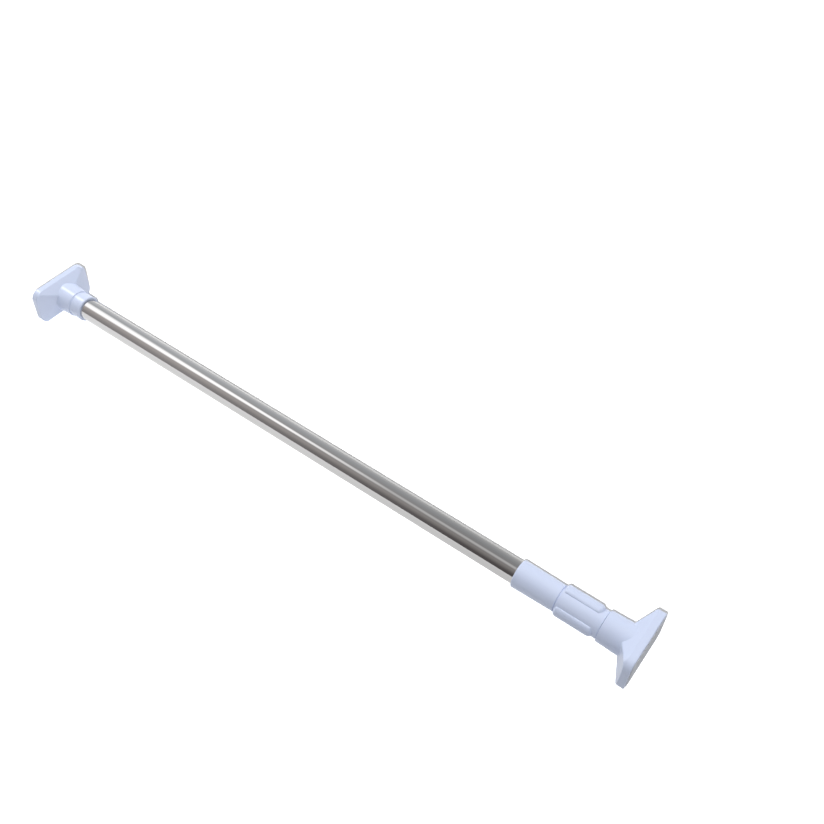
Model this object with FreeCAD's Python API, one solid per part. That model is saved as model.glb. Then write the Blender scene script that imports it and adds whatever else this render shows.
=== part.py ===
import FreeCAD, Part
import math
import os

from FreeCAD import Vector

os.makedirs("parts", exist_ok=True)

# Spring tension rod, collapsed, lying on the long edges of its two feet.
# X runs along the rod, Z is up, and stations are counted from the left wall face.
# All sizes are in millimetres.

# Lengths along the rod that show from outside
LEFT_FOOT_LENGTH = 32.0
COLLAR_LENGTH = 14.0
TUBE_LENGTH = 532.0
SLEEVE_LENGTH = 41.0
NUT_LENGTH = 42.0
RIGHT_FOOT_LENGTH = 39.0

# Tubes
TUBE_OD = 22.0
TUBE_WALL = 0.8
INNER_GAP = 0.7
INNER_WALL = 0.8
TUBE_INSERT = 20.0
SLEEVE_INSERT = 30.0

# Feet
FOOT_WIDTH = 66.0
FOOT_HEIGHT = 40.0
FOOT_CORNER = 9.5
FOOT_RIM = 6.5
LEFT_HIP_RISE = 9.3
RIGHT_HIP_RISE = 12.0
HIP_TOP_HALF = 10.4
HIP_CREASE = 1.5
FOOT_RIM_FILLET = 1.2
FOOT_BACK_FILLET = 0.8
FOOT_ROOT_FILLET = 1.0
NECK_FLARE = 0.9
NECK_EDGE = 0.4
RIGHT_NECK_RADIUS = 14.6
SHELL_WALL = 2.4
SHELL_RIB = 2.0
SHELL_DEPTH = 5.5

# Rubber grip sheets
GRIP_THICKNESS = 1.6
GRIP_PROUD = 0.6
GRIP_INSET = 3.0
GRIP_LANDS = 9
GRIP_GROOVE = 1.0
GRIP_GROOVE_DEPTH = 0.5

# Spring end
FOOT_TRAVEL = 10.0
COLLAR_WALL = 2.4
COLLAR_EDGE = 0.6
NECK_WALL = 1.0
FLOOR_THICKNESS = 5.4
STEM_RADIUS = 6.0
STOP_WASHER_RADIUS = 9.0
STOP_WASHER_THICKNESS = 2.0
SPRING_REST = 66.0
SPRING_RADIUS = 7.6
WIRE_RADIUS = 0.9
SPRING_TURNS = 8.0
SEAT_LENGTH = 12.0
SEAT_BOSS = 7.0

# Telescope
GUIDE_CLEARANCE = 14.55
STOP_BUSH_LENGTH = 60.0
GUIDE_HEAD = 7.0
GUIDE_SPIGOT = 15.0

# Lock
SLEEVE_WALL = 2.1
SLEEVE_TAPER = -0.6
SLEEVE_ROUND = 1.2
SLEEVE_EDGE = 0.25
SPIGOT_WALL = 1.0
SPIGOT_EDGE = 0.4
SPIGOT_LENGTH = 18.0
SHOULDER = 2.0
COLLET_WALL = 1.0
COLLET_NOSE = 5.0
NOSE_STEP = 0.9
COLLET_SLOTS = 4
COLLET_SLOT = 1.4
CONE_SLOPE = 0.12
CONE_LENGTH = 5.0
THREAD_PITCH = 1.2
NUT_TURN = 240.0
NUT_WALL = 1.4
NUT_EDGE = 0.3
NUT_END_WALL = 4.0
NUT_RIBS = 3
RIB_PHASE = 27.6
RIB_WIDTH = 17.0
RIB_HEIGHT = 1.8
RIB_END_GAP = 5.2
RIB_START_GAP = 0.8
RIB_ROUND = 1.2
RIB_END_ROUND = 2.2

# Screws
SCREW_RADIUS = 2.5
SCREW_HEAD_RADIUS = 4.6
SCREW_HEAD = 2.8
SCREW_GRIP = 11.0
DRIVE_RADIUS = 1.6
DRIVE_DEPTH = 1.5

# Clearances
PRESS = 0.02
RUNNING = 0.08
FREE = 0.35
SEAM = 0.15
FACE = 0.1
NECK_SEAM = 0.4

# Derived radii
TUBE_R = TUBE_OD / 2
TUBE_BORE = TUBE_R - TUBE_WALL
INNER_R = TUBE_BORE - INNER_GAP
INNER_BORE = INNER_R - INNER_WALL
COLLAR_R = TUBE_R + COLLAR_WALL
NECK_BORE = COLLAR_R + RUNNING
NECK_R = NECK_BORE + NECK_WALL
COLLET_BORE = INNER_R + RUNNING
COLLET_R = COLLET_BORE + COLLET_WALL
SPIGOT_BORE = COLLET_R + PRESS
SPIGOT_R = SPIGOT_BORE + SPIGOT_WALL
NUT_BORE = SPIGOT_R + RUNNING
NUT_R = NUT_BORE + NUT_WALL
RIB_R = NUT_R + RIB_HEIGHT
SLEEVE_R = TUBE_R + SLEEVE_WALL
SLEEVE_END_R = SLEEVE_R + SLEEVE_TAPER

# Derived stations
X_SEAM_LEFT = LEFT_FOOT_LENGTH
X_TUBE_SHOWS = X_SEAM_LEFT + COLLAR_LENGTH
X_SLEEVE = X_TUBE_SHOWS + TUBE_LENGTH
X_NUT = X_SLEEVE + SLEEVE_LENGTH
X_NECK = X_NUT + NUT_LENGTH
ROD_LENGTH = X_NECK + RIGHT_FOOT_LENGTH
X_TUBE_START = X_TUBE_SHOWS - TUBE_INSERT
X_TUBE_END = X_SLEEVE + SLEEVE_INSERT
X_FOOT_FLOOR = GRIP_THICKNESS + FLOOR_THICKNESS
X_BUSH_START = X_FOOT_FLOOR + FOOT_TRAVEL + FREE
AXIS_HEIGHT = FOOT_HEIGHT / 2
LOCK_STROKE = THREAD_PITCH * NUT_TURN / 360.0

X_AXIS = Vector(1, 0, 0)
ORIGIN = Vector(0, 0, 0)


def turned(points):
    """Solid of revolution about the rod's axis from (station, radius) points."""
    loop = [Vector(x, 0, r) for x, r in points]
    face = Part.Face(Part.makePolygon(loop + loop[:1]))
    return face.revolve(ORIGIN, X_AXIS, 360)


def ring(start, end, inner, outer):
    """Plain round tube between two stations."""
    return turned([(start, inner), (end, inner), (end, outer), (start, outer)])


def disc(start, end, radius):
    """Plain round bar between two stations."""
    return Part.makeCylinder(radius, end - start, Vector(start, 0, 0), X_AXIS)


def rounded_outline(station, width, height, corner):
    """Closed wire of a rectangle with round corners, square to the rod's axis."""
    w = width / 2
    h = height / 2
    d = corner * (1 - math.sqrt(0.5))
    p = [(w, h - corner), (w - d, h - d), (w - corner, h)]
    points = []
    for sy, sz, order in ((1, 1, 1), (-1, 1, -1), (-1, -1, 1), (1, -1, -1)):
        points.append([Vector(station, sy * y, sz * z) for y, z in p[::order]])
    edges = []
    for index, arc in enumerate(points):
        following = points[(index + 1) % len(points)]
        edges.append(Part.Arc(*arc).toShape())
        edges.append(Part.makeLine(arc[2], following[0]))
    return Part.Wire(edges)


def plate(start, end, width, height, corner):
    """Flat plate with round corners between two stations."""
    face = Part.Face(rounded_outline(start, width, height, corner))
    return face.extrude(Vector(end - start, 0, 0))


def hip_block(rim_start, rim_end, top, width, height, corner, top_half):
    """Plate with round corners whose front has four sloped faces that rise to a small square top."""
    low = rounded_outline(rim_end, width, height, HIP_CREASE)
    high = rounded_outline(top, 2 * top_half, 2 * top_half, HIP_CREASE)
    slopes = Part.makeLoft([low, high], True, True)
    block = plate(rim_start, rim_end, width, height, HIP_CREASE).fuse(slopes)
    return block.common(plate(rim_start, top, width, height, corner)).removeSplitter()


def rounded(shape, radius, wanted):
    """Rounds the edges of a shape that the test picks."""
    return shape.makeFillet(radius, [edge for edge in shape.Edges if wanted(edge)])


def screw(head_start, direction, length):
    """Pan-head screw with a round drive recess, its head at one end."""
    back = head_start + direction * SCREW_HEAD
    tip = back + direction * length
    axis = Vector(direction, 0, 0)
    body = Part.makeCylinder(SCREW_HEAD_RADIUS, SCREW_HEAD, Vector(head_start, 0, 0), axis)
    body = body.fuse(Part.makeCylinder(SCREW_RADIUS, abs(tip - back), Vector(back, 0, 0), axis))
    drive = Part.makeCylinder(DRIVE_RADIUS, DRIVE_DEPTH, Vector(head_start, 0, 0), axis)
    return body.cut(drive).removeSplitter()


def moulded_foot(length, neck_radius, hip_rise):
    """Foot seen from its wall face at station 0: plate, four sloped faces, flared neck, cored back."""
    back = GRIP_PROUD
    rim = back + FOOT_RIM
    top = rim + hip_rise
    body = hip_block(back, rim, top, FOOT_WIDTH, FOOT_HEIGHT, FOOT_CORNER, HIP_TOP_HALF)
    root_radius = neck_radius + NECK_FLARE
    neck = turned(
        [
            (rim, 0),
            (rim, root_radius),
            (length - NECK_EDGE, neck_radius),
            (length, neck_radius - NECK_EDGE),
            (length, 0),
        ]
    )
    body = body.fuse(neck).removeSplitter()

    def at_root(edge):
        middle = edge.valueAt((edge.FirstParameter + edge.LastParameter) / 2)
        radius = math.hypot(middle.y, middle.z)
        return rim + 0.3 < middle.x < top + 0.5 and neck_radius - 0.2 < radius < root_radius + 0.1

    def at_rim(edge):
        box = edge.BoundBox
        return box.XLength < 0.01 and rim - 0.01 < box.XMin < rim + 0.01

    def at_back(edge):
        box = edge.BoundBox
        return box.XMax < back + 0.01

    body = rounded(body, FOOT_ROOT_FILLET, at_root)
    body = rounded(body, min(FOOT_RIM_FILLET, 0.6 * FOOT_RIM), at_rim)
    body = rounded(body, min(FOOT_BACK_FILLET, 0.3 * FOOT_RIM), at_back)
    recess = plate(
        0,
        GRIP_THICKNESS,
        FOOT_WIDTH - 2 * GRIP_INSET,
        FOOT_HEIGHT - 2 * GRIP_INSET,
        FOOT_CORNER - GRIP_INSET,
    )
    return body.cut(recess)


def cored(foot, boss):
    """Cuts the hollows behind the sloped faces, leaving the boss and cross ribs."""
    inset = SHELL_WALL + GRIP_INSET
    hollow = hip_block(
        GRIP_THICKNESS - 0.5,
        GRIP_THICKNESS,
        GRIP_THICKNESS + SHELL_DEPTH,
        FOOT_WIDTH - 2 * inset,
        FOOT_HEIGHT - 2 * inset,
        FOOT_CORNER - GRIP_INSET,
        HIP_TOP_HALF,
    )
    hollow = hollow.cut(disc(0, GRIP_THICKNESS + SHELL_DEPTH + 1, boss))
    rib_y = Part.makeBox(
        SHELL_DEPTH + GRIP_THICKNESS + 1,
        FOOT_WIDTH,
        SHELL_RIB,
        Vector(0, -FOOT_WIDTH / 2, -SHELL_RIB / 2),
    )
    return foot.cut(hollow.cut(rib_y))


def grip_sheet():
    """Rubber sheet at station 0 with shallow upright grooves in its wall face."""
    width = FOOT_WIDTH - 2 * GRIP_INSET - 2 * PRESS
    height = FOOT_HEIGHT - 2 * GRIP_INSET - 2 * PRESS
    sheet = plate(0, GRIP_THICKNESS, width, height, FOOT_CORNER - GRIP_INSET - PRESS)
    pitch = width / GRIP_LANDS
    for index in range(1, GRIP_LANDS):
        middle = -width / 2 + index * pitch
        groove = Part.makeBox(
            GRIP_GROOVE_DEPTH,
            GRIP_GROOVE,
            height,
            Vector(0, middle - GRIP_GROOVE / 2, -height / 2),
        )
        sheet = sheet.cut(groove)
    return sheet


def mirrored(shape):
    """The same shape seen from the right wall face."""
    return shape.mirror(Vector(ROD_LENGTH / 2, 0, 0), X_AXIS)


def coil_spring(start, end):
    """Compression spring with its two end turns closed up."""
    low = start + WIRE_RADIUS
    high = end - WIRE_RADIUS
    closed = 2.1 * WIRE_RADIUS
    open_turns = SPRING_TURNS - 2
    pitch = (high - low - 2 * closed) / open_turns
    steps = 16
    points = []
    for step in range(int(SPRING_TURNS * steps) + 1):
        turn = step / steps
        if turn <= 1:
            x = low + closed * turn
        elif turn <= SPRING_TURNS - 1:
            x = low + closed + pitch * (turn - 1)
        else:
            x = high - closed * (SPRING_TURNS - turn)
        angle = 2 * math.pi * turn
        points.append(Vector(x, SPRING_RADIUS * math.cos(angle), SPRING_RADIUS * math.sin(angle)))
    curve = Part.BSplineCurve()
    curve.interpolate(points)
    path = Part.Wire(curve.toShape())
    section = Part.Wire(Part.makeCircle(WIRE_RADIUS, points[0], curve.tangent(curve.FirstParameter)[0]))
    return path.makePipeShell([section], True, True)


def grip_rib(start, end):
    """One broad, round-edged grip rib that stands on the nut, its middle pointing up."""
    root = NUT_BORE + NUT_WALL / 2
    half = RIB_WIDTH / (2 * RIB_R)

    def at(radius, angle):
        return Vector(start, radius * math.sin(angle), radius * math.cos(angle))

    outline = Part.Wire(
        [
            Part.Arc(at(RIB_R, -half), at(RIB_R, 0), at(RIB_R, half)).toShape(),
            Part.makeLine(at(RIB_R, half), at(root, half)),
            Part.Arc(at(root, half), at(root, 0), at(root, -half)).toShape(),
            Part.makeLine(at(root, -half), at(RIB_R, -half)),
        ]
    )
    bar = Part.Face(outline).extrude(Vector(end - start, 0, 0))

    def upright(edge):
        reach = [math.hypot(vertex.Y, vertex.Z) for vertex in edge.Vertexes]
        return max(reach) - min(reach) > 0.9 * (RIB_R - root)

    def on_top(edge):
        return all(math.hypot(vertex.Y, vertex.Z) > RIB_R - PRESS for vertex in edge.Vertexes)

    bar = rounded(bar, RIB_END_ROUND, upright)
    return rounded(bar, RIB_ROUND, on_top)


# Left foot, which slides over the collar
left_foot = cored(moulded_foot(LEFT_FOOT_LENGTH, NECK_R, LEFT_HIP_RISE), NECK_R)
left_foot = left_foot.cut(disc(X_FOOT_FLOOR, LEFT_FOOT_LENGTH + 1, NECK_BORE))
left_foot = left_foot.cut(disc(0, X_FOOT_FLOOR + 1, SCREW_RADIUS + PRESS))
left_foot = left_foot.cut(disc(0, GRIP_THICKNESS + SCREW_HEAD, SCREW_HEAD_RADIUS + FREE))
left_grip_pad = grip_sheet()
left_foot_screw = screw(GRIP_THICKNESS, 1, FLOOR_THICKNESS - SCREW_HEAD + SCREW_GRIP)

# Stem, its stop washer and screw
x_web_end = X_TUBE_START
x_washer = x_web_end + FACE
stem_end = x_washer
screw_hole = SCREW_RADIUS + PRESS
foot_stem = disc(X_FOOT_FLOOR, stem_end, STEM_RADIUS)
foot_stem = foot_stem.cut(disc(X_FOOT_FLOOR, X_FOOT_FLOOR + SCREW_GRIP + FREE, screw_hole))
stop_grip = stem_end - X_FOOT_FLOOR - SCREW_GRIP - 3 * FREE
foot_stem = foot_stem.cut(disc(stem_end - stop_grip - FREE, stem_end, screw_hole))
x_washer_end = x_washer + STOP_WASHER_THICKNESS
stop_washer = ring(x_washer, x_washer_end, screw_hole, STOP_WASHER_RADIUS)
stop_screw = screw(x_washer_end + SCREW_HEAD, -1, STOP_WASHER_THICKNESS + stop_grip)

# Collar on the tube's left end, with the web that guides the stem
guide_bush = turned(
    [
        (X_BUSH_START, STEM_RADIUS + RUNNING),
        (X_TUBE_START, STEM_RADIUS + RUNNING),
        (X_TUBE_START, TUBE_R + PRESS),
        (X_TUBE_SHOWS, TUBE_R + PRESS),
        (X_TUBE_SHOWS, COLLAR_R - COLLAR_EDGE),
        (X_TUBE_SHOWS - COLLAR_EDGE, COLLAR_R),
        (X_BUSH_START + COLLAR_EDGE, COLLAR_R),
        (X_BUSH_START, COLLAR_R - COLLAR_EDGE),
    ]
)

# Spring and the plug it pushes against
x_seat = x_washer_end + SPRING_REST
foot_spring = coil_spring(x_washer_end, x_seat)
seat_boss = SPRING_RADIUS - WIRE_RADIUS - FREE
spring_seat = turned(
    [
        (x_seat - SEAT_BOSS, 0),
        (x_seat - SEAT_BOSS, seat_boss - 1.5),
        (x_seat - SEAT_BOSS + 1.5, seat_boss),
        (x_seat, seat_boss),
        (x_seat, TUBE_BORE - PRESS),
        (x_seat + SEAT_LENGTH, TUBE_BORE - PRESS),
        (x_seat + SEAT_LENGTH, 0),
    ]
)

# Tubes and the bushes between them
outer_tube = ring(X_TUBE_START + PRESS, X_TUBE_END, TUBE_BORE, TUBE_R)
x_stop = X_TUBE_END - STOP_BUSH_LENGTH
stop_bush = ring(x_stop, X_TUBE_END, COLLET_BORE, TUBE_BORE - PRESS)
x_guide = x_seat + SEAT_LENGTH + GUIDE_CLEARANCE
TELESCOPE_TRAVEL = x_stop - FREE - GUIDE_HEAD - x_guide
x_inner_start = x_stop - FREE - TELESCOPE_TRAVEL
x_inner_end = ROD_LENGTH - X_FOOT_FLOOR - FREE - STOP_WASHER_THICKNESS / 2
inner_tube = ring(x_inner_start, x_inner_end, INNER_BORE, INNER_R)
guide_bore = INNER_BORE - 2.0
inner_guide = turned(
    [
        (x_inner_start - GUIDE_HEAD, guide_bore),
        (x_inner_start + GUIDE_SPIGOT, guide_bore),
        (x_inner_start + GUIDE_SPIGOT, INNER_BORE - PRESS),
        (x_inner_start, INNER_BORE - PRESS),
        (x_inner_start, TUBE_BORE - RUNNING),
        (x_inner_start - GUIDE_HEAD + 1, TUBE_BORE - RUNNING),
        (x_inner_start - GUIDE_HEAD, TUBE_BORE - RUNNING - 1),
    ]
)

# Sleeve on the tube's right end, with the spigot that carries the nut
x_pocket = X_TUBE_END + SHOULDER
x_spigot_end = X_NUT + SPIGOT_LENGTH
collet_sleeve = turned(
    [
        (X_SLEEVE, TUBE_R + PRESS),
        (X_TUBE_END + PRESS, TUBE_R + PRESS),
        (X_TUBE_END + PRESS, INNER_R + FREE),
        (x_pocket, INNER_R + FREE),
        (x_pocket, SPIGOT_BORE),
        (x_spigot_end, SPIGOT_BORE),
        (x_spigot_end, SPIGOT_R - SPIGOT_EDGE),
        (x_spigot_end - SPIGOT_EDGE, SPIGOT_R),
        (X_NUT, SPIGOT_R),
        (X_NUT, SLEEVE_END_R - SLEEVE_EDGE),
        (X_NUT - SLEEVE_EDGE, SLEEVE_END_R),
        (X_SLEEVE, SLEEVE_R),
    ]
)
collet_sleeve = rounded(
    collet_sleeve,
    min(SLEEVE_ROUND, 0.85 * SLEEVE_WALL),
    lambda edge: edge.BoundBox.XMax < X_SLEEVE + PRESS and edge.BoundBox.ZMax > SLEEVE_R - PRESS,
)

# Slotted collet in the sleeve's pocket
x_nose = x_spigot_end + FACE
nose_r = SPIGOT_R - NOSE_STEP
x_cone = x_nose + COLLET_NOSE
x_collet_end = x_cone + CONE_LENGTH
cone_drop = CONE_SLOPE * CONE_LENGTH
split_collet = turned(
    [
        (x_pocket + PRESS, COLLET_BORE),
        (x_collet_end, COLLET_BORE),
        (x_collet_end, nose_r - cone_drop),
        (x_cone, nose_r),
        (x_nose, nose_r),
        (x_nose, COLLET_R),
        (x_pocket + PRESS, COLLET_R),
    ]
)
x_slot = (x_pocket + x_nose) / 2
for index in range(COLLET_SLOTS):
    cutter = Part.makeBox(
        x_collet_end - x_slot + 1,
        COLLET_SLOT,
        SPIGOT_R,
        Vector(x_slot, -COLLET_SLOT / 2, 0),
    )
    cutter.rotate(ORIGIN, X_AXIS, 45 + 360.0 * index / COLLET_SLOTS)
    split_collet = split_collet.cut(cutter)

# Ring with the inner cone, one lock stroke away from the collet's cone
x_nut_start = X_NUT + LOCK_STROKE + SEAM
x_nut_end = X_NECK - NECK_SEAM
x_nut_wall = x_nut_end - NUT_END_WALL
stroke_gap = LOCK_STROKE + FACE
ring_start_r = nose_r
x_ring_start = x_cone + stroke_gap
x_ring_end = x_nut_wall - FACE
thrust_ring = turned(
    [
        (x_ring_start, ring_start_r),
        (x_ring_start + CONE_LENGTH, ring_start_r - cone_drop),
        (x_ring_start + CONE_LENGTH, INNER_R + FREE),
        (x_ring_end, INNER_R + FREE),
        (x_ring_end, NUT_BORE - RUNNING),
        (x_ring_start, NUT_BORE - RUNNING),
    ]
)

# Nut with its grip ribs
lock_nut = turned(
    [
        (x_nut_start, NUT_BORE),
        (x_nut_wall, NUT_BORE),
        (x_nut_wall, INNER_R + FREE),
        (x_nut_end, INNER_R + FREE),
        (x_nut_end, NUT_R - NUT_EDGE),
        (x_nut_end - NUT_EDGE, NUT_R),
        (x_nut_start + NUT_EDGE, NUT_R),
        (x_nut_start, NUT_R - NUT_EDGE),
    ]
)
for index in range(NUT_RIBS):
    rib = grip_rib(x_nut_start + RIB_START_GAP, x_nut_end - RIB_END_GAP)
    rib.rotate(ORIGIN, X_AXIS, -RIB_PHASE + 360.0 * index / NUT_RIBS)
    lock_nut = lock_nut.fuse(rib)
lock_nut = lock_nut.removeSplitter()

# Right foot, which turns on its screw
x_socket = ROD_LENGTH - X_FOOT_FLOOR
right_foot = mirrored(cored(moulded_foot(RIGHT_FOOT_LENGTH, RIGHT_NECK_RADIUS, RIGHT_HIP_RISE), NECK_R))
right_foot = right_foot.cut(disc(X_NECK - 1, x_socket, INNER_R + RUNNING))
right_foot = right_foot.cut(disc(x_socket - 1, ROD_LENGTH, SCREW_RADIUS + RUNNING))
x_head = ROD_LENGTH - GRIP_THICKNESS
right_foot = right_foot.cut(disc(x_head - SCREW_HEAD - FACE, ROD_LENGTH, SCREW_HEAD_RADIUS + FREE))
right_grip_pad = mirrored(grip_sheet())
washer_start = x_inner_end + FACE
swivel_washer = ring(washer_start, x_socket - FACE, SCREW_RADIUS + RUNNING, INNER_R - FREE)
plug_start = x_inner_end - SCREW_GRIP - 6
tube_plug = disc(plug_start, x_inner_end, INNER_BORE - PRESS)
right_reach = x_head - SCREW_HEAD - x_inner_end + SCREW_GRIP
right_foot_screw = screw(x_head, -1, right_reach)
tube_plug = tube_plug.cut(disc(x_inner_end - SCREW_GRIP - FREE, x_inner_end, screw_hole))

NODES = {
    "left_grip_pad": left_grip_pad,
    "left_foot": left_foot,
    "left_foot_screw": left_foot_screw,
    "foot_stem": foot_stem,
    "stop_washer": stop_washer,
    "stop_screw": stop_screw,
    "foot_spring": foot_spring,
    "spring_seat": spring_seat,
    "guide_bush": guide_bush,
    "outer_tube": outer_tube,
    "inner_tube": inner_tube,
    "inner_guide": inner_guide,
    "stop_bush": stop_bush,
    "collet_sleeve": collet_sleeve,
    "split_collet": split_collet,
    "thrust_ring": thrust_ring,
    "lock_nut": lock_nut,
    "tube_plug": tube_plug,
    "swivel_washer": swivel_washer,
    "right_foot": right_foot,
    "right_foot_screw": right_foot_screw,
    "right_grip_pad": right_grip_pad,
}

for name, shape in NODES.items():
    placed = shape.copy()
    placed.translate(Vector(-ROD_LENGTH / 2, 0, AXIS_HEIGHT))
    solid = placed.Solids[0] if len(placed.Solids) == 1 else placed
    solid.exportStep(f"parts/{name}.step")
    print(name, len(placed.Solids), placed.isValid(), round(placed.Volume, 1))
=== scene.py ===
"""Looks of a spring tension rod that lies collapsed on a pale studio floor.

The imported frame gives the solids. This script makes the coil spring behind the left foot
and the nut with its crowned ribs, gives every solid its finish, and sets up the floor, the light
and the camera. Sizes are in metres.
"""

from __future__ import annotations

import logging
import math
from abc import ABC, abstractmethod
from collections.abc import Mapping
from dataclasses import dataclass, field
from enum import Enum

import bmesh
import bpy
from mathutils import Matrix, Vector

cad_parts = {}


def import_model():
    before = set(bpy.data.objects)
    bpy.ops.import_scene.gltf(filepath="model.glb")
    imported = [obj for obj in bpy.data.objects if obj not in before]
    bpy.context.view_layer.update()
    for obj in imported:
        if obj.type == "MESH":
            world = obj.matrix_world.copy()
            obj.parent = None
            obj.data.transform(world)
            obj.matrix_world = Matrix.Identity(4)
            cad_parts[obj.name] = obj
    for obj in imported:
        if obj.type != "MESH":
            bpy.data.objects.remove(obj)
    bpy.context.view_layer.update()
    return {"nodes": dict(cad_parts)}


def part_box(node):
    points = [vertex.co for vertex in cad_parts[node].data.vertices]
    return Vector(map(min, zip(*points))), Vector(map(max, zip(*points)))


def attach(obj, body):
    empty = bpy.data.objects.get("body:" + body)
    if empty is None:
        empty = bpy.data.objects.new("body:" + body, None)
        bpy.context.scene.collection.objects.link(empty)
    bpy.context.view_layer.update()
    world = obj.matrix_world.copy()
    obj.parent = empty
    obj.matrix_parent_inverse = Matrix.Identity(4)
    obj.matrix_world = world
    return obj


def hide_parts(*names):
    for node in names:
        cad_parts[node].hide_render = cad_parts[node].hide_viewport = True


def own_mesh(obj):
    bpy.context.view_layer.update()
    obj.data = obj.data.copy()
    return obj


LOG = logging.getLogger("tension_rod")

Colour = tuple[float, float, float]
Point = tuple[float, float, float]
Span = tuple[float, float]

EVEN_STRETCH: Point = (1.0, 1.0, 1.0)
PLAIN_WHITE = (1.0, 1.0, 1.0, 1.0)
NOISE_ROUGHNESS = 0.55
ROD_AXIS = (1, 0, 0)
FULL_TURN = 2 * math.pi


class Body(Enum):
    """Bodies of the rod that carry pieces made here."""

    OUTER_ROD = "outer_rod"
    NUT = "nut"


class Slot(Enum):
    """Material slots of the record for the pieces made here."""

    WHITE_PLASTIC = "white_plastic"
    SPRING_STEEL = "spring_steel"


class Signal:
    """Output socket of a node that takes part in Python expressions."""

    def __init__(self, bench: NodeBench, socket: bpy.types.NodeSocket) -> None:
        """Keeps the socket and the bench that adds nodes behind it."""
        self.bench = bench
        self.socket = socket

    def _math(self, operation: str, first: Signal | float, second: Signal | float) -> Signal:
        """Adds one Math node on two values."""
        return self.bench.add("ShaderNodeMath", {"operation": operation}, {0: first, 1: second})

    def __add__(self, other: Signal | float) -> Signal:
        """Sum of two values."""
        return self._math("ADD", self, other)

    def __radd__(self, other: float) -> Signal:
        """Sum with a number in front."""
        return self._math("ADD", other, self)

    def __sub__(self, other: Signal | float) -> Signal:
        """Difference of two values."""
        return self._math("SUBTRACT", self, other)

    def __mul__(self, other: Signal | float) -> Signal:
        """Product of two values."""
        return self._math("MULTIPLY", self, other)

    def __rmul__(self, other: float) -> Signal:
        """Product with a number in front."""
        return self._math("MULTIPLY", other, self)

    def __or__(self, other: Signal | float) -> Signal:
        """The larger of two values."""
        return self._math("MAXIMUM", self, other)


class NodeBench:
    """Node tree of one material or world, filled node by node."""

    def __init__(self, tree: bpy.types.NodeTree, output: str) -> None:
        """Empties the tree and gives it its output node.

        Args:
            tree: Node tree of a material or a world.
            output: Type of the output node.
        """
        tree.nodes.clear()
        self.tree = tree
        self.end = tree.nodes.new(output)

    def add(
        self,
        kind: str,
        settings: Mapping[str, object] | None = None,
        sockets: Mapping[int | str, object] | None = None,
        output: int | str = 0,
    ) -> Signal:
        """Adds a node of any type.

        Args:
            kind: Type of the node.
            settings: Properties of the node; "stops" holds a ramp's (place, colour) pairs.
            sockets: Values or signals for the input sockets, by place or name.
            output: Place or name of the output socket that is wanted.

        Returns:
            Signal of that output socket.
        """
        node = self.tree.nodes.new(kind)
        for name, value in (settings or {}).items():
            if name == "stops":
                self._set_stops(node.color_ramp, value)
            else:
                setattr(node, name, value)
        for key, value in (sockets or {}).items():
            if isinstance(value, Signal):
                self.tree.links.new(value.socket, node.inputs[key])
            else:
                node.inputs[key].default_value = value
        return Signal(self, node.outputs[output])

    @staticmethod
    def _set_stops(ramp: bpy.types.ColorRamp, stops: list[tuple[float, Colour]]) -> None:
        """Gives a colour ramp its stops."""
        while len(ramp.elements) > 1:
            ramp.elements.remove(ramp.elements[-1])
        for index, (place, colour) in enumerate(stops):
            element = ramp.elements[0] if index == 0 else ramp.elements.new(place)
            element.position = place
            element.color = (*colour, 1.0)

    def mix(
        self, factor: Signal | float, first: Signal | Colour, second: Signal | Colour
    ) -> Signal:
        """Mixes two colours.

        Args:
            factor: Share of the second colour.
            first: Colour at factor 0.
            second: Colour at factor 1.

        Returns:
            Signal of the mixed colour.
        """
        pair = [c if isinstance(c, Signal) else (*c, 1.0) for c in (first, second)]
        settings = {"data_type": "RGBA", "blend_type": "MIX"}
        return self.add("ShaderNodeMix", settings, {0: factor, 6: pair[0], 7: pair[1]}, 2)

    def place(self, stretch: Point = EVEN_STRETCH) -> Signal:
        """Object coordinates, stretched along each axis."""
        point = self.add("ShaderNodeTexCoord", output="Object")
        sockets = {"Vector": point, "Scale": stretch}
        return self.add("ShaderNodeMapping", {"vector_type": "POINT"}, sockets)

    def noise(self, scale: float, detail: float, stretch: Point = EVEN_STRETCH) -> Signal:
        """Noise from 0 to 1 on object coordinates.

        Args:
            scale: Number of grains for each metre.
            detail: Number of finer layers.
            stretch: Factor on each axis before the noise.

        Returns:
            Signal of the noise value.
        """
        sockets = {
            "Vector": self.place(stretch),
            "Scale": scale,
            "Detail": detail,
            "Roughness": NOISE_ROUGHNESS,
        }
        return self.add("ShaderNodeTexNoise", {}, sockets, 0)

    def fade(self, value: Signal, span: Span, levels: Span, kind: str = "LINEAR") -> Signal:
        """Level that goes from one number to another while a value crosses a span.

        Args:
            value: The value.
            span: Start and end of the span.
            levels: Level before and after it.
            kind: Way in which the level changes.

        Returns:
            Signal of the level.
        """
        sockets = {0: value, 1: span[0], 2: span[1], 3: levels[0], 4: levels[1]}
        return self.add("ShaderNodeMapRange", {"interpolation_type": kind}, sockets)

    def bump(self, height: Signal, strength: float, distance: float) -> Signal:
        """Normal of a surface with small heights on it.

        Args:
            height: Height from 0 to 1.
            strength: Share of the effect.
            distance: Real height at 1.

        Returns:
            Signal of the normal.
        """
        sockets = {"Height": height, "Strength": strength, "Distance": distance}
        return self.add("ShaderNodeBump", {}, sockets)

    def close(self, surface: Signal) -> None:
        """Links the shader to the output node."""
        self.tree.links.new(surface.socket, self.end.inputs["Surface"])


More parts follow.
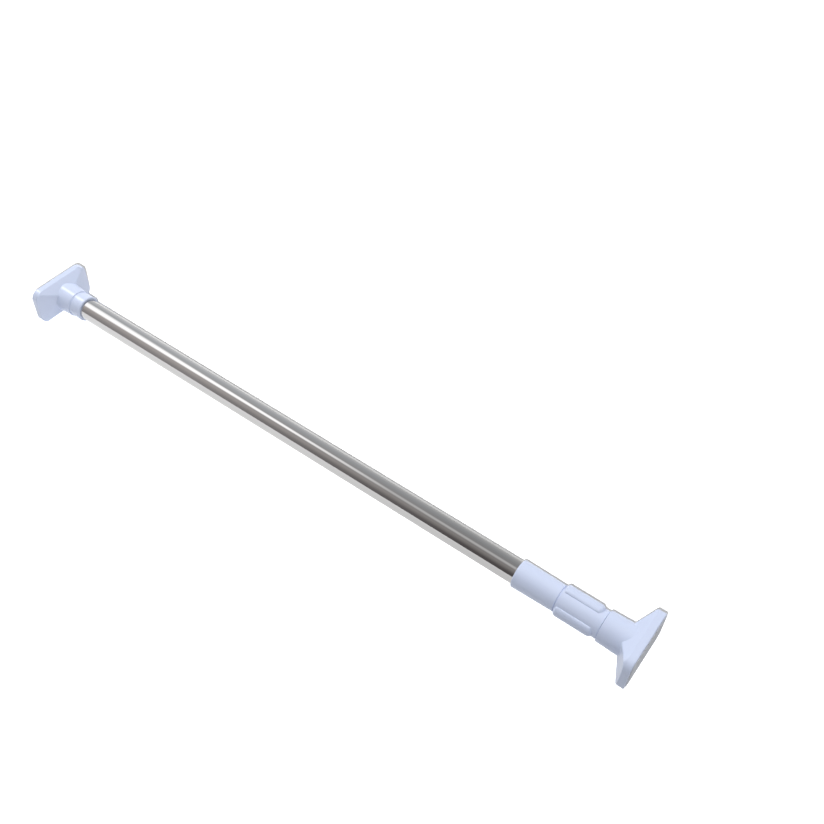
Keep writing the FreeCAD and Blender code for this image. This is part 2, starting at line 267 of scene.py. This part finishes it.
@dataclass(frozen=True)
class Finish(ABC):
    """A surface finish that makes one material."""

    name: str

    @abstractmethod
    def surface(self, bench: NodeBench) -> Signal:
        """Adds the finish's nodes and returns its shader."""

    def material(self) -> bpy.types.Material:
        """The finish's material, made at the first call."""
        made = bpy.data.materials.get(self.name)
        if made is None:
            made = bpy.data.materials.new(self.name)
            made.use_nodes = True
            bench = NodeBench(made.node_tree, "ShaderNodeOutputMaterial")
            bench.close(self.surface(bench))
        return made


@dataclass(frozen=True)
class MouldedPlastic(Finish):
    """Moulded plastic with a faint cloudiness and a fine skin."""

    light: Colour
    deep: Colour
    roughness: float
    refraction: float = 1.49
    cloud_scale: float = 26.0
    cloud_detail: float = 3.0
    cloud_gloss: float = 0.08
    skin_scale: float = 1500.0
    skin_detail: float = 2.0
    skin_gloss: float = 0.03
    skin_share: float = 0.35
    skin_height: float = 0.00002

    def surface(self, bench: NodeBench) -> Signal:
        """Adds the plastic's nodes and returns its shader."""
        cloud = bench.noise(self.cloud_scale, self.cloud_detail)
        skin = bench.noise(self.skin_scale, self.skin_detail)
        gloss = self.roughness - self.cloud_gloss / 2 + self.cloud_gloss * cloud
        sockets = {
            "Base Color": bench.mix(cloud, self.light, self.deep),
            "Roughness": gloss + self.skin_gloss * skin,
            "IOR": self.refraction,
            "Normal": bench.bump(skin, self.skin_share, self.skin_height),
        }
        return bench.add("ShaderNodeBsdfPrincipled", {}, sockets)


@dataclass(frozen=True)
class PolishedSteel(Finish):
    """Polished steel with fine polishing lines along the rod."""

    light: Colour
    deep: Colour
    roughness: float
    line_scale: float = 420.0
    line_detail: float = 4.0
    line_stretch: Point = (0.012, 1.0, 1.0)
    line_gloss: float = 0.02
    line_share: float = 0.3
    line_height: float = 0.000004
    haze_scale: float = 14.0
    haze_detail: float = 3.0
    haze_stretch: Point = (0.35, 1.0, 1.0)
    haze_gloss: float = 0.015

    def surface(self, bench: NodeBench) -> Signal:
        """Adds the steel's nodes and returns its shader."""
        lines = bench.noise(self.line_scale, self.line_detail, self.line_stretch)
        haze = bench.noise(self.haze_scale, self.haze_detail, self.haze_stretch)
        sockets = {
            "Base Color": bench.mix(lines, self.light, self.deep),
            "Metallic": 1.0,
            "Roughness": self.roughness + self.line_gloss * lines + self.haze_gloss * haze,
            "Normal": bench.bump(lines, self.line_share, self.line_height),
        }
        return bench.add("ShaderNodeBsdfPrincipled", {}, sockets)


@dataclass(frozen=True)
class PlatedSteel(Finish):
    """Plated or drawn steel with a dull, patchy gloss."""

    light: Colour
    deep: Colour
    roughness: float
    patch_scale: float = 380.0
    patch_detail: float = 4.0
    patch_gloss: float = 0.12
    patch_share: float = 0.2
    patch_height: float = 0.00002

    def surface(self, bench: NodeBench) -> Signal:
        """Adds the plating's nodes and returns its shader."""
        patch = bench.noise(self.patch_scale, self.patch_detail)
        sockets = {
            "Base Color": bench.mix(patch, self.light, self.deep),
            "Metallic": 1.0,
            "Roughness": self.roughness + self.patch_gloss * patch,
            "Normal": bench.bump(patch, self.patch_share, self.patch_height),
        }
        return bench.add("ShaderNodeBsdfPrincipled", {}, sockets)


@dataclass(frozen=True)
class SoftRubber(Finish):
    """Matt rubber with a fine grain."""

    light: Colour
    deep: Colour
    roughness: float
    grain_scale: float = 2200.0
    grain_detail: float = 3.0
    grain_gloss: float = 0.1
    grain_share: float = 0.5
    grain_height: float = 0.00006
    smear_scale: float = 60.0
    smear_detail: float = 3.0

    def surface(self, bench: NodeBench) -> Signal:
        """Adds the rubber's nodes and returns its shader."""
        grain = bench.noise(self.grain_scale, self.grain_detail)
        smear = bench.noise(self.smear_scale, self.smear_detail)
        sockets = {
            "Base Color": bench.mix(smear, self.light, self.deep),
            "Roughness": self.roughness + self.grain_gloss * grain,
            "Normal": bench.bump(grain, self.grain_share, self.grain_height),
        }
        return bench.add("ShaderNodeBsdfPrincipled", {}, sockets)


WHITE_PLASTIC = MouldedPlastic(
    name="satin_white_plastic",
    light=(0.685, 0.76, 0.965),
    deep=(0.65, 0.725, 0.93),
    roughness=0.23,
)
BUSH_PLASTIC = MouldedPlastic(
    name="natural_bush_plastic",
    light=(0.72, 0.72, 0.70),
    deep=(0.66, 0.66, 0.65),
    roughness=0.48,
)
TUBE_STEEL = PolishedSteel(
    name="polished_tube_steel",
    light=(0.615, 0.61, 0.61),
    deep=(0.58, 0.575, 0.575),
    roughness=0.02,
)
SPRING_STEEL = PlatedSteel(
    name="drawn_spring_wire",
    light=(0.46, 0.46, 0.47),
    deep=(0.34, 0.34, 0.35),
    roughness=0.32,
)
SCREW_STEEL = PlatedSteel(
    name="zinc_plated_steel",
    light=(0.68, 0.68, 0.70),
    deep=(0.55, 0.56, 0.57),
    roughness=0.28,
)
GRIP_RUBBER = SoftRubber(
    name="soft_grip_rubber",
    light=(0.72, 0.74, 0.79),
    deep=(0.66, 0.68, 0.73),
    roughness=0.62,
)


def dress(nodes: Mapping[str, bpy.types.Object], names: tuple[str, ...], finish: Finish) -> None:
    """Gives solids of the frame their finish.

    Args:
        nodes: Solids of the frame by name.
        names: Solids that get the finish.
        finish: The finish.
    """
    for name in names:
        slots = nodes[name].data.materials
        slots.clear()
        slots.append(finish.material())
        LOG.info("%s: %s", name, finish.name)


def mesh_object(
    name: str, mesh: bmesh.types.BMesh, material: bpy.types.Material
) -> bpy.types.Object:
    """Makes an object of a bmesh and puts it in the scene.

    Args:
        name: Name of the object.
        mesh: Finished shape, which is used up.
        material: Its material.

    Returns:
        The new object.
    """
    data = bpy.data.meshes.new(name)
    mesh.to_mesh(data)
    mesh.free()
    data.materials.append(material)
    made = bpy.data.objects.new(name, data)
    bpy.context.scene.collection.objects.link(made)
    return made


def new_piece(
    name: str, mesh: bmesh.types.BMesh, finish: Finish, body: Body
) -> bpy.types.Object:
    """Makes a piece of the rod and lets it ride on a body.

    Args:
        name: Name of the piece.
        mesh: Finished shape, in the rod's frame.
        finish: The finish.
        body: Body that carries it.

    Returns:
        The new object.
    """
    piece = mesh_object(name, mesh, finish.material())
    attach(piece, body.value)
    LOG.info("%s: %d faces", name, len(piece.data.polygons))
    return piece


@dataclass
class SpringEnd:
    """Left foot with its stem, and the spring that pushes it out.

    A closed turn at the spring's ends advances by closed_pitch wire radii.
    """

    nodes: Mapping[str, bpy.types.Object]
    wire_radius: float = 0.0009
    closed_pitch: float = 2.1
    turns: int = 8
    end_turns: int = 1
    steps: int = 40
    wire_sides: int = 14
    travel: float = 0.010

    def build(self) -> None:
        """Makes the coil spring in place of the frame's spring."""
        low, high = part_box("foot_spring")
        axis = (low + high) / 2
        start = low.x + self.wire_radius
        length = high.x - low.x
        radius = (high.z - low.z) / 2 - self.wire_radius
        closed = self.closed_pitch * self.wire_radius
        open_turns = self.turns - 2 * self.end_turns
        pitch = (length - 2 * self.wire_radius - 2 * self.end_turns * closed) / open_turns
        coil = bmesh.new()
        wire_place = Matrix.Translation((start, axis.y, axis.z + radius))
        made = bmesh.ops.create_circle(
            coil,
            cap_ends=False,
            segments=self.wire_sides,
            radius=self.wire_radius,
            matrix=wire_place @ Matrix.Rotation(math.pi / 2, 4, "X"),
        )
        ring = list({edge for vertex in made["verts"] for edge in vertex.link_edges})
        ends = [ring]
        windings = ((self.end_turns, closed), (open_turns, pitch), (self.end_turns, closed))
        for count, rise in windings:
            ring = self._wind(coil, ring, axis, count, rise)
        ends.append(ring)
        for end in ends:
            bmesh.ops.contextual_create(coil, geom=end)
        bmesh.ops.recalc_face_normals(coil, faces=coil.faces)
        for face in coil.faces:
            face.smooth = len(face.verts) == 4
        piece = new_piece("coil_spring", coil, SPRING_STEEL, Body.OUTER_ROD)
        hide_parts("foot_spring")
        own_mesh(piece)

    def _wind(
        self,
        coil: bmesh.types.BMesh,
        ring: list[bmesh.types.BMEdge],
        axis: Vector,
        count: int,
        rise: float,
    ) -> list[bmesh.types.BMEdge]:
        """Winds the wire on by some turns.

        Args:
            coil: The spring's mesh.
            ring: Edges of the wire's open end.
            axis: A point on the spring's axis.
            count: Number of turns.
            rise: Advance for each turn.

        Returns:
            Edges of the new open end.
        """
        made = bmesh.ops.spin(
            coil,
            geom=ring,
            cent=axis,
            axis=ROD_AXIS,
            dvec=(rise / self.steps, 0, 0),
            angle=count * FULL_TURN,
            steps=count * self.steps,
            use_merge=False,
        )
        return [item for item in made["geom_last"] if isinstance(item, bmesh.types.BMEdge)]

    def dress(self) -> None:
        """Gives the left end's solids their finishes."""
        dress(self.nodes, ("left_foot", "guide_bush"), WHITE_PLASTIC)
        dress(self.nodes, ("foot_stem", "spring_seat"), BUSH_PLASTIC)
        dress(self.nodes, ("left_foot_screw", "stop_screw", "stop_washer"), SCREW_STEEL)
        dress(self.nodes, ("left_grip_pad",), GRIP_RUBBER)
        dress(self.nodes, ("foot_spring",), SPRING_STEEL)


@dataclass
class Telescope:
    """The two tubes and the bushes between them."""

    nodes: Mapping[str, bpy.types.Object]

    def dress(self) -> None:
        """Gives the tubes and bushes their finishes."""
        dress(self.nodes, ("outer_tube", "inner_tube"), TUBE_STEEL)
        dress(self.nodes, ("inner_guide", "stop_bush"), BUSH_PLASTIC)


@dataclass
class LockEnd:
    """Sleeve, collet, thrust ring and the nut with its crowned grip ribs.

    A rib is highest along its middle and falls off to its sides and ends. The smaller rib_fullness is,
    the flatter is its top and the steeper are its sides.
    """

    nodes: Mapping[str, bpy.types.Object]
    bore: float = 0.01168
    hole_gap: float = 0.00035
    shell: float = 0.01308
    edge: float = 0.0003
    end_wall: float = 0.004
    rib_count: int = 3
    rib_phase: float = math.radians(27.6)
    rib_half: float = math.radians(30.0)
    rib_height: float = 0.0025
    rib_gaps: Span = (0.0002, 0.0043)
    rib_ends: Span = (0.0028, 0.0036)
    rib_fullness: float = 0.62
    stations: int = 100
    sides: int = 240
    sharp_angle: float = math.radians(30.0)

    def build(self) -> None:
        """Spins the nut and raises its ribs."""
        low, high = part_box("lock_nut")
        tube_low, tube_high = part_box("inner_tube")
        axis = (tube_low + tube_high) / 2
        hole = (tube_high.z - tube_low.z) / 2 + self.hole_gap
        wall = high.x - self.end_wall
        section = (
            (high.x - self.edge, self.shell),
            (low.x + self.edge, self.shell),
            (low.x, self.shell - self.edge),
            (low.x, self.bore),
            (wall, self.bore),
            (wall, hole),
            (high.x, hole),
            (high.x, self.shell - self.edge),
        )
        outward = Vector((0, math.sin(self.rib_phase), math.cos(self.rib_phase)))
        nut = bmesh.new()
        corners = [
            nut.verts.new(Vector((along, axis.y, axis.z)) + radius * outward)
            for along, radius in section
        ]
        outside, *_ = [nut.edges.new(pair) for pair in zip(corners, (*corners[1:], corners[0]))]
        bmesh.ops.subdivide_edges(nut, edges=[outside], cuts=self.stations)
        bmesh.ops.spin(
            nut,
            geom=[*nut.verts, *nut.edges],
            cent=axis,
            axis=ROD_AXIS,
            dvec=(0, 0, 0),
            angle=FULL_TURN,
            steps=self.sides,
            use_merge=True,
        )
        span = (low.x + self.rib_gaps[0], high.x - self.rib_gaps[1])
        for vertex in nut.verts:
            self._raise_rib(vertex, axis, span)
        bmesh.ops.recalc_face_normals(nut, faces=nut.faces)
        for face in nut.faces:
            face.smooth = True
        for line in nut.edges:
            line.smooth = line.calc_face_angle() < self.sharp_angle
        piece = new_piece("ribbed_nut", nut, WHITE_PLASTIC, Body.NUT)
        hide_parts("lock_nut")

    def _raise_rib(self, vertex: bmesh.types.BMVert, axis: Vector, span: Span) -> None:
        """Lifts a point of the nut's outside to the surface of its rib.

        Args:
            vertex: Point of the nut.
            axis: A point on the nut's axis.
            span: Start and end of the ribs along the rod.
        """
        offset = Vector((0, vertex.co.y - axis.y, vertex.co.z - axis.z))
        if offset.length < self.shell - self.edge / 2:
            return
        pitch = FULL_TURN / self.rib_count
        turn = math.atan2(offset.y, offset.z) - self.rib_phase
        across = ((turn + pitch / 2) % pitch - pitch / 2) / self.rib_half
        before = max(0.0, 1 - (vertex.co.x - span[0]) / self.rib_ends[0])
        after = max(0.0, 1 - (span[1] - vertex.co.x) / self.rib_ends[1])
        share = max(0.0, 1 - across**2 - before**2 - after**2)
        vertex.co += self.rib_height * share**self.rib_fullness * offset.normalized()

    def dress(self) -> None:
        """Gives the lock's solids their finishes."""
        dress(self.nodes, ("collet_sleeve", "lock_nut"), WHITE_PLASTIC)
        dress(self.nodes, ("split_collet", "thrust_ring"), BUSH_PLASTIC)


@dataclass
class SwivelEnd:
    """Right foot, which turns on its screw."""

    nodes: Mapping[str, bpy.types.Object]

    def dress(self) -> None:
        """Gives the right end's solids their finishes."""
        dress(self.nodes, ("right_foot",), WHITE_PLASTIC)
        dress(self.nodes, ("tube_plug", "swivel_washer"), BUSH_PLASTIC)
        dress(self.nodes, ("right_foot_screw",), SCREW_STEEL)
        dress(self.nodes, ("right_grip_pad",), GRIP_RUBBER)


def stage_piece(
    name: str, mesh: bmesh.types.BMesh, material: bpy.types.Material
) -> bpy.types.Object:
    """Makes a piece of the studio, which isn't part of the rod.

    Args:
        name: Name of the object.
        mesh: Finished shape.
        material: Its material.

    Returns:
        The new object.
    """
    piece = mesh_object(name, mesh, material)
    return piece


@dataclass(frozen=True)
class LightTent:
    """Half-round glowing tent with a strip light along its top, seen only by mirror rays: painted
    reflections for the polished tube, in bands of light and shade round the rod that darken towards
    the right.

    Turns go from 0 at the front horizon over the top to 1 at the rear horizon.
    """

    radius: float = 1.6
    half: float = 4.0
    steps: int = 64
    wall_turns: tuple[float, ...] = (0.12, 0.30, 0.70, 1.0)
    left_painted_reflection: tuple[Colour, ...] = (
        (0.37, 0.35, 0.35),
        (0.57, 0.53, 0.51),
        (0.55, 0.57, 0.59),
        (0.84, 0.85, 0.87),
    )
    right_painted_reflection: tuple[Colour, ...] = (
        (0.12, 0.11, 0.11),
        (0.32, 0.30, 0.29),
        (0.36, 0.37, 0.38),
        (0.60, 0.60, 0.60),
    )
    wall_span: Span = (-1.2, -0.25)
    strip_turn: float = 0.484
    strip_lean: float = -0.032
    lean_start: float = -1.0
    strip_core: float = 0.06
    strip_edge: float = 0.165
    strip_taper: Span = (1.0, 0.5)
    taper_span: Span = (-1.60, -0.80)
    strip_span: Span = (-0.85, -0.50)
    strip_levels: Span = (1.15, 0.30)

    def build(self) -> None:
        """Makes the tent, which only mirror rays see."""
        cloth = bmesh.new()
        first = cloth.verts.new((-self.half, -self.radius, 0))
        second = cloth.verts.new((self.half, -self.radius, 0))
        edge = cloth.edges.new((first, second))
        bmesh.ops.spin(
            cloth,
            geom=[first, second, edge],
            cent=(0, 0, 0),
            axis=(-1, 0, 0),
            dvec=(0, 0, 0),
            angle=FULL_TURN / 2,
            steps=self.steps,
            use_merge=False,
        )
        material = bpy.data.materials.new("painted_reflection_glow")
        material.use_nodes = True
        bench = NodeBench(material.node_tree, "ShaderNodeOutputMaterial")
        bench.close(self._glow(bench))
        tent = stage_piece("painted_reflection_tent", cloth, material)
        tent.visible_camera = False
        tent.visible_diffuse = False
        tent.visible_transmission = False
        tent.visible_shadow = False

    def _glow(self, bench: NodeBench) -> Signal:
        """Painted reflection: glow of the wall by angle round the rod, and of the strip light on it.

        Args:
            bench: Node bench of the tent's material.

        Returns:
            Signal of the summed emission shader.
        """
        point = bench.add("ShaderNodeTexCoord", output="Object")
        along = bench.add("ShaderNodeSeparateXYZ", {}, {0: point}, "X")
        across = Signal(bench, along.socket.node.outputs["Y"])
        up = Signal(bench, along.socket.node.outputs["Z"])
        angle = bench.add("ShaderNodeMath", {"operation": "ARCTAN2"}, {0: up, 1: -1.0 * across})
        turn = angle * (1 / math.pi)
        left, right = (
            bench.add("ShaderNodeValToRGB", {"stops": list(zip(self.wall_turns, colours))}, {0: turn})
            for colours in (self.left_painted_reflection, self.right_painted_reflection)
        )
        # Painted reflection: the wall's bands go from the lighter left set to the darker right set
        # along the rod.
        wall = bench.mix(bench.fade(along, self.wall_span, (0.0, 1.0)), left, right)
        middle = self.strip_turn + self.strip_lean * (along - self.lean_start)
        offset = bench.add("ShaderNodeMath", {"operation": "ABSOLUTE"}, {0: turn - middle})
        width = bench.fade(along, self.taper_span, self.strip_taper)
        share = bench.add("ShaderNodeMath", {"operation": "DIVIDE"}, {0: offset, 1: width})
        strip = bench.fade(share, (self.strip_core, self.strip_edge), (1.0, 0.0), "SMOOTHSTEP")
        # Painted highlight: the strip glows strongly over the left end and dims towards the right.
        strip_level = strip * bench.fade(along, self.strip_span, self.strip_levels)
        shaders = [
            bench.add("ShaderNodeEmission", {}, {"Color": wall, "Strength": 1.0}),
            bench.add("ShaderNodeEmission", {}, {"Color": PLAIN_WHITE, "Strength": strip_level}),
        ]
        return bench.add("ShaderNodeAddShader", {}, {0: shaders[0], 1: shaders[1]})


@dataclass(frozen=True)
class Softbox:
    """Flat lamp over the rod."""

    name: str
    place: Point
    target: Point
    length: float
    width: float
    power: float
    mirrored: bool

    def build(self) -> bpy.types.Object:
        """Makes the lamp and returns it."""
        lamp = bpy.data.lights.new(self.name, "AREA")
        lamp.shape = "RECTANGLE"
        lamp.size = self.length
        lamp.size_y = self.width
        lamp.energy = self.power
        box = bpy.data.objects.new(self.name, lamp)
        look = (Vector(self.target) - Vector(self.place)).to_track_quat("-Z", "Y")
        box.matrix_world = Matrix.Translation(self.place) @ look.to_matrix().to_4x4()
        box.visible_glossy = self.mirrored
        bpy.context.scene.collection.objects.link(box)
        return box


TOP_BOX = Softbox(
    name="top_softbox",
    place=(-0.10, 0.33, 1.12),
    target=(-0.10, 0.33, 0.0),
    length=2.0,
    width=0.7,
    power=12.5,
    mirrored=False,
)
LEFT_BOX = Softbox(
    name="left_softbox",
    place=(-1.65, 0.17, 1.55),
    target=(-0.3, 0.0, 0.02),
    length=0.28,
    width=0.6,
    power=7.0,
    mirrored=True,
)


@dataclass
class Studio:
    """Pale floor, soft light, and the glowing tent that paints the polished tube's reflections."""

    nodes: Mapping[str, bpy.types.Object]
    floor_half: float = 4.0
    floor_seen: Colour = (0.90, 0.90, 0.90)
    # Floor colours that bounce and mirror rays see: painted fill light under the rod's left end,
    # painted shade under its right end.
    left_fill_light: Colour = (0.66, 0.66, 0.66)
    right_fill_shade: Colour = (0.31, 0.31, 0.31)
    floor_span: Span = (-0.40, 0.35)
    glow_span: Span = (0.8, 2.6)
    glow_levels: Span = (0.15, 0.70)
    sky_level: float = 0.35
    lamp_place: Point = (0.409, -0.4725, 0.7205)
    lamp_radius: float = 0.012
    lamp_power: float = 72.0

    def build(self) -> None:
        """Makes the floor, the light and the tent."""
        self._world()
        floor = self._floor()
        tubes = [self.nodes[name] for name in ("outer_tube", "inner_tube")]
        for box in (TOP_BOX, LEFT_BOX):
            self._link_light(box.build(), [floor, *tubes], "EXCLUDE")
        self._link_light(self._floor_lamp(), [floor], "INCLUDE")
        LightTent().build()

    @staticmethod
    def _link_light(lamp: bpy.types.Object, pieces: list[bpy.types.Object], state: str) -> None:
        """Chooses what a lamp lights.

        Args:
            lamp: The lamp.
            pieces: Pieces that the choice names.
            state: Whether the lamp lights only these pieces or all others.
        """
        lit = bpy.data.collections.new(f"{lamp.name}_lit")
        for piece in pieces:
            lit.objects.link(piece)
        for entry in lit.collection_objects:
            entry.light_linking.link_state = state
        lamp.light_linking.receiver_collection = lit

    @staticmethod
    def _seen(bench: NodeBench) -> Signal:
        """1 where a camera, mirror or glass ray looks, else 0."""
        rays = [
            bench.add("ShaderNodeLightPath", output=name)
            for name in ("Is Camera Ray", "Is Glossy Ray", "Is Transmission Ray")
        ]
        return rays[0] | rays[1] | rays[2]

    def _world(self) -> None:
        """White where it is seen, and a plain level where it lights."""
        world = bpy.data.worlds.new("studio_world")
        world.use_nodes = True
        bpy.context.scene.world = world
        bench = NodeBench(world.node_tree, "ShaderNodeOutputWorld")
        level = self.sky_level + (1.0 - self.sky_level) * self._seen(bench)
        sockets = {"Color": PLAIN_WHITE, "Strength": level}
        bench.close(bench.add("ShaderNodeBackground", {}, sockets))

    def _floor(self) -> bpy.types.Object:
        """White floor that keeps the rod's shadow."""
        sheet = bmesh.new()
        bmesh.ops.create_grid(sheet, x_segments=1, y_segments=1, size=self.floor_half)
        material = bpy.data.materials.new("pale_floor")
        material.use_nodes = True
        bench = NodeBench(material.node_tree, "ShaderNodeOutputMaterial")
        camera = bench.add("ShaderNodeLightPath", output="Is Camera Ray")
        along = bench.add("ShaderNodeSeparateXYZ", {}, {0: bench.place()}, "X")
        # Only camera rays see the even white floor_seen. Bounce and mirror rays see a colour that
        # darkens from left to right: painted light on the rod's left end, painted shade on its right
        # end, and a darker mirrored floor in the tube's right part.
        share = bench.fade(along, self.floor_span, (0.0, 1.0))
        painted_fill = bench.mix(share, self.left_fill_light, self.right_fill_shade)
        colour = bench.mix(camera, painted_fill, self.floor_seen)
        matt = bench.add("ShaderNodeBsdfDiffuse", {}, {"Color": colour})
        settings = {"operation": "LENGTH"}
        reach = bench.add("ShaderNodeVectorMath", settings, {0: bench.place()}, "Value")
        level = bench.fade(reach, self.glow_span, self.glow_levels) * self._seen(bench)
        glow = bench.add("ShaderNodeEmission", {}, {"Color": PLAIN_WHITE, "Strength": level})
        bench.close(bench.add("ShaderNodeAddShader", {}, {0: matt, 1: glow}))
        return stage_piece("studio_floor", sheet, material)

    def _floor_lamp(self) -> bpy.types.Object:
        """Lamp by the camera that lights the floor evenly and throws the rod's shadow on it."""
        data = bpy.data.lights.new("floor_lamp", "POINT")
        data.energy = self.lamp_power
        data.shadow_soft_size = self.lamp_radius
        data.use_nodes = True
        bench = NodeBench(data.node_tree, "ShaderNodeOutputLight")
        even = bench.add("ShaderNodeLightFalloff", {}, {"Strength": 1.0}, "Constant")
        bench.close(bench.add("ShaderNodeEmission", {}, {"Color": PLAIN_WHITE, "Strength": even}))
        lamp = bpy.data.objects.new("floor_lamp", data)
        lamp.location = self.lamp_place
        lamp.visible_glossy = False
        bpy.context.scene.collection.objects.link(lamp)
        return lamp


@dataclass
class PhotoCamera:
    """Camera at the photograph's place and angle."""

    eye: Vector = field(default_factory=lambda: Vector((0.4090, -0.4384, 0.7426)))
    aim: Vector = field(default_factory=lambda: Vector((0.0487, 0.0921, 0.0200)))
    roll: float = math.radians(2.756)
    lens: float = 43.643
    sensor: float = 36.0
    near: float = 0.01

    def build(self) -> None:
        """Makes the camera and gives it to the scene."""
        data = bpy.data.cameras.new("photo_camera")
        data.lens = self.lens
        data.sensor_width = self.sensor
        data.clip_start = self.near
        data.dof.use_dof = False
        camera = bpy.data.objects.new("photo_camera", data)
        look = (self.aim - self.eye).to_track_quat("-Z", "Y").to_matrix().to_4x4()
        turned = look @ Matrix.Rotation(self.roll, 4, "Z")
        camera.matrix_world = Matrix.Translation(self.eye) @ turned
        bpy.context.scene.collection.objects.link(camera)
        bpy.context.scene.camera = camera


def main() -> None:
    """Builds and dresses the rod, then sets up the studio and the camera."""
    logging.basicConfig(level=logging.INFO, format="%(message)s")
    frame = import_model()
    nodes = frame["nodes"]
    left = SpringEnd(nodes)
    left.build()
    left.dress()
    Telescope(nodes).dress()
    lock = LockEnd(nodes)
    lock.build()
    lock.dress()
    SwivelEnd(nodes).dress()
    Studio(nodes).build()
    PhotoCamera().build()
    bpy.context.scene.view_settings.view_transform = "Standard"


if __name__ == "__main__":
    main()
